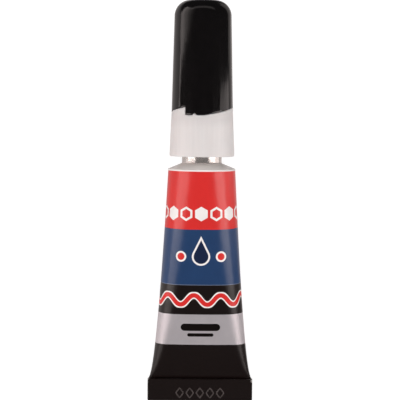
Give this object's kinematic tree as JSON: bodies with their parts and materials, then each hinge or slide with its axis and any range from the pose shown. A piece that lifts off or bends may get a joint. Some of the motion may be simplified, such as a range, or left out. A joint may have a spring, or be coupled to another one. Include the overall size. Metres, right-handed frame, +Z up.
{
  "type": "super glue tube",
  "caption": "Collapsible metal glue tube with a folded crimp, a screw-down collar that pierces the seal through a nozzle, and a cap that twists up ramps and lifts off.",
  "frame": {"origin": "middle of the box's base, on the surface that the tube lies on", "axes": "+Z up; +Y from the crimp towards the cap; +X along the crimp. The tube lies on its rim and belly, so its own axis climbs by 5.12 degrees from +Y"},
  "size_m": [0.0214, 0.081, 0.0152],
  "materials": {
    "tube_metal": "gloss print",
    "latex": "matte",
    "foil": "bright",
    "gel": "clear gel",
    "nozzle_plastic": "satin",
    "collar_plastic": "satin",
    "liner_plastic": "satin",
    "pin_steel": "bright",
    "cap_plastic": "gloss"
  },
  "bodies": {
    "tube": {"tube_body": "tube_metal", "end_seal": "latex", "foil_membrane": "foil", "glue_gel": "gel"},
    "nozzle": {"nozzle": "nozzle_plastic"},
    "collar": {"collar": "collar_plastic"},
    "cap_plug": {"cap_liner": "liner_plastic", "clog_pin": "pin_steel"},
    "cap": {"cap": "cap_plastic"}
  },
  "joints": [
    {"name": "nozzle_travel", "type": "slide", "parent": "tube", "child": "nozzle", "axis": [0, 0.996, 0.0892], "range_m": [-0.00125, 0.00375], "deforming": ["foil_membrane"]},
    {"name": "collar_turn", "type": "hinge", "parent": "nozzle", "child": "collar", "pos_m": [0, 0.01775, 0.00779], "axis": [0, 0.996, 0.0892], "range_deg": [-360, 1080]},
    {"name": "cap_lift", "type": "slide", "parent": "collar", "child": "cap_plug", "axis": [0, 0.996, 0.0892], "range_m": [0, 0.024]},
    {"name": "cap_twist", "type": "hinge", "parent": "cap_plug", "child": "cap", "pos_m": [0, 0.01775, 0.00779], "axis": [0, 0.996, 0.0892], "range_deg": [0, 120]}
  ],
  "couplings": [
    {"joint": "collar_turn", "follows": "nozzle_travel", "rad_per_m": 5026.5},
    {"joint": "cap_twist", "follows": "cap_lift", "rad_per_m": 87.266}
  ]
}
